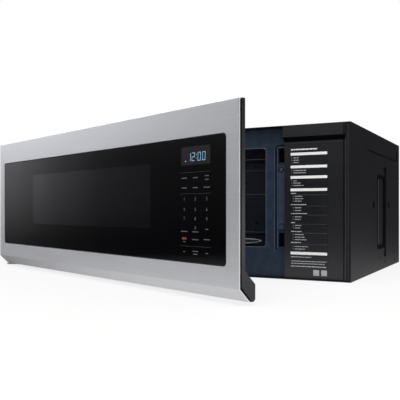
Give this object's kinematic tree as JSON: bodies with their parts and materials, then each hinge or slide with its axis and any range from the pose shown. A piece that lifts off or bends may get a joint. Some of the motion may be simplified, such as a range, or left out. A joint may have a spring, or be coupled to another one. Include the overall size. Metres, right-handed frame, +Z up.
{
  "type": "over the range microwave oven",
  "caption": "Slim over-the-range microwave with a full-width side-hinged door, flush glass, touch keys, oven cavity with turntable, and a hood blower behind it.",
  "frame": {"origin": "middle of the cabinet's underside, on the plane that it can stand on", "axes": "+Z up, +Y from the door to the wall behind, +X to the right of a user who faces the door"},
  "size_m": [0.7636, 0.7624, 0.267],
  "materials": {
    "stainless": "brushed stainless sheet with a fine grain along its length",
    "case_paint": "charcoal powder coat, low sheen",
    "enamel": "dark blue enamel, glossy",
    "panel_plastic": "black moulded plastic, low sheen",
    "door_plastic": "dark grey moulded plastic",
    "label_print": "black printed film with white bars and rules",
    "black_glass": "black back-printed glass, high gloss",
    "display": "dark display window with pale blue digits",
    "clear_glass": "clear glass",
    "screen_paint": "black enamelled steel",
    "zinc_steel": "zinc plated steel, dull",
    "aluminium": "plain aluminium",
    "copper_and_core": "laminated steel core with varnished copper coils",
    "circuit": "green circuit board",
    "white_plastic": "white moulded plastic",
    "grey_plastic": "grey moulded plastic",
    "mica": "pressed mica sheet",
    "carbon": "activated carbon in a mesh tray"
  },
  "bodies": {
    "cabinet": {"case_wrap": "case_paint", "rear_plate": "zinc_steel", "base_plate": "case_paint", "face_plate": "enamel", "cavity_liner": "enamel", "control_side_panel": "panel_plastic", "guide_label": "label_print", "upper_hinge_bracket": "zinc_steel", "upper_hinge_pin": "zinc_steel", "lower_hinge_bracket": "zinc_steel", "lower_hinge_pin": "zinc_steel", "latch_housing": "white_plastic", "primary_switch": "grey_plastic", "secondary_switch": "grey_plastic", "monitor_switch": "grey_plastic", "waveguide": "zinc_steel", "waveguide_cover": "mica", "magnetron": "aluminium", "hv_transformer": "copper_and_core", "hv_capacitor": "aluminium", "cooling_fan_shroud": "panel_plastic", "power_board": "circuit", "cavity_lamp": "white_plastic", "cord_gland": "panel_plastic", "blower_housing": "zinc_steel", "blower_motor": "grey_plastic", "charcoal_filter": "carbon", "cooktop_light_lens_left": "clear_glass", "cooktop_light_left": "white_plastic", "cooktop_light_lens_right": "clear_glass", "cooktop_light_right": "white_plastic", "turntable_motor": "zinc_steel"},
    "door": {"door_skin": "stainless", "door_glass": "black_glass", "door_frame": "door_plastic", "choke_frame": "screen_paint", "choke_cover": "panel_plastic", "perforated_screen": "screen_paint", "inner_window": "clear_glass", "control_board": "circuit", "display_module": "display", "door_rear_cover": "panel_plastic", "latch_spring": "zinc_steel"},
    "door_latch": {"latch_lever": "white_plastic"},
    "turntable": {"glass_tray": "clear_glass", "drive_coupler": "white_plastic"},
    "roller_support": {"roller_ring": "white_plastic"},
    "roller_wheel_1": {"roller_1": "white_plastic"},
    "roller_wheel_2": {"roller_2": "white_plastic"},
    "roller_wheel_3": {"roller_3": "white_plastic"},
    "hood_blower": {"blower_shaft": "zinc_steel", "blower_wheel_left": "grey_plastic", "blower_wheel_right": "grey_plastic"},
    "cooling_fan": {"fan_blade": "white_plastic"},
    "exhaust_damper": {"damper_flap": "zinc_steel"},
    "left_grease_filter": {"grease_filter_left": "aluminium"},
    "right_grease_filter": {"grease_filter_right": "aluminium"},
    "primary_switch_plunger": {"primary_plunger": "white_plastic"},
    "secondary_switch_plunger": {"secondary_plunger": "white_plastic"},
    "monitor_switch_plunger": {"monitor_plunger": "white_plastic"}
  },
  "joints": [
    {"name": "door_hinge", "type": "hinge", "parent": "cabinet", "child": "door", "pos_m": [-0.3695, -0.2365, 0.13], "axis": [0, 0, -1], "range_deg": [-22.3, 72.7]},
    {"name": "door_latch_lift", "type": "slide", "parent": "door", "child": "door_latch", "axis": [0, 0, 1], "range_m": [0, 0.004], "stiffness_N_per_m": 300, "springref_m": -0.006, "deforming": ["latch_spring"]},
    {"name": "turntable_spin", "type": "hinge", "parent": "cabinet", "child": "turntable", "pos_m": [-0.026, -0.0375, 0.04], "axis": [0, 0, 1], "continuous": true},
    {"name": "roller_support_spin", "type": "hinge", "parent": "cabinet", "child": "roller_support", "pos_m": [-0.026, -0.0375, 0.0383], "axis": [0, 0, 1], "continuous": true},
    {"name": "roller_1_roll", "type": "hinge", "parent": "roller_support", "child": "roller_wheel_1", "pos_m": [0.092, -0.0375, 0.0383], "axis": [1, 0, 0], "continuous": true},
    {"name": "roller_2_roll", "type": "hinge", "parent": "roller_support", "child": "roller_wheel_2", "pos_m": [-0.085, 0.06469, 0.0383], "axis": [-0.5, 0.866, 0], "continuous": true},
    {"name": "roller_3_roll", "type": "hinge", "parent": "roller_support", "child": "roller_wheel_3", "pos_m": [-0.085, -0.13969, 0.0383], "axis": [-0.5, -0.866, 0], "continuous": true},
    {"name": "hood_blower_spin", "type": "hinge", "parent": "cabinet", "child": "hood_blower", "pos_m": [0, 0.1775, 0.16], "axis": [1, 0, 0], "continuous": true},
    {"name": "cooling_fan_spin", "type": "hinge", "parent": "cabinet", "child": "cooling_fan", "pos_m": [0.3, 0.2142, 0.19], "axis": [0, 1, 0], "continuous": true},
    {"name": "damper_swing", "type": "hinge", "parent": "cabinet", "child": "exhaust_damper", "pos_m": [0, 0.2085, 0.262], "axis": [-1, 0, 0], "range_deg": [0, 80]},
    {"name": "left_filter_slide", "type": "slide", "parent": "cabinet", "child": "left_grease_filter", "axis": [0, 1, 0], "range_m": [0, 0.01]},
    {"name": "right_filter_slide", "type": "slide", "parent": "cabinet", "child": "right_grease_filter", "axis": [0, 1, 0], "range_m": [0, 0.01]},
    {"name": "primary_plunger_travel", "type": "slide", "parent": "cabinet", "child": "primary_switch_plunger", "axis": [0, 1, 0], "range_m": [0, 0.0015], "stiffness_N_per_m": 150, "springref_m": -0.002},
    {"name": "secondary_plunger_travel", "type": "slide", "parent": "cabinet", "child": "secondary_switch_plunger", "axis": [0, 1, 0], "range_m": [0, 0.0015], "stiffness_N_per_m": 150, "springref_m": -0.002},
    {"name": "monitor_plunger_travel", "type": "slide", "parent": "cabinet", "child": "monitor_switch_plunger", "axis": [0, 1, 0], "range_m": [0, 0.0015], "stiffness_N_per_m": 150, "springref_m": -0.002}
  ],
  "couplings": [
    {"joint": "roller_support_spin", "follows": "turntable_spin", "ratio": 0.5},
    {"joint": "roller_1_roll", "follows": "turntable_spin", "ratio": -9.8333},
    {"joint": "roller_2_roll", "follows": "turntable_spin", "ratio": -9.8333},
    {"joint": "roller_3_roll", "follows": "turntable_spin", "ratio": -9.8333}
  ]
}
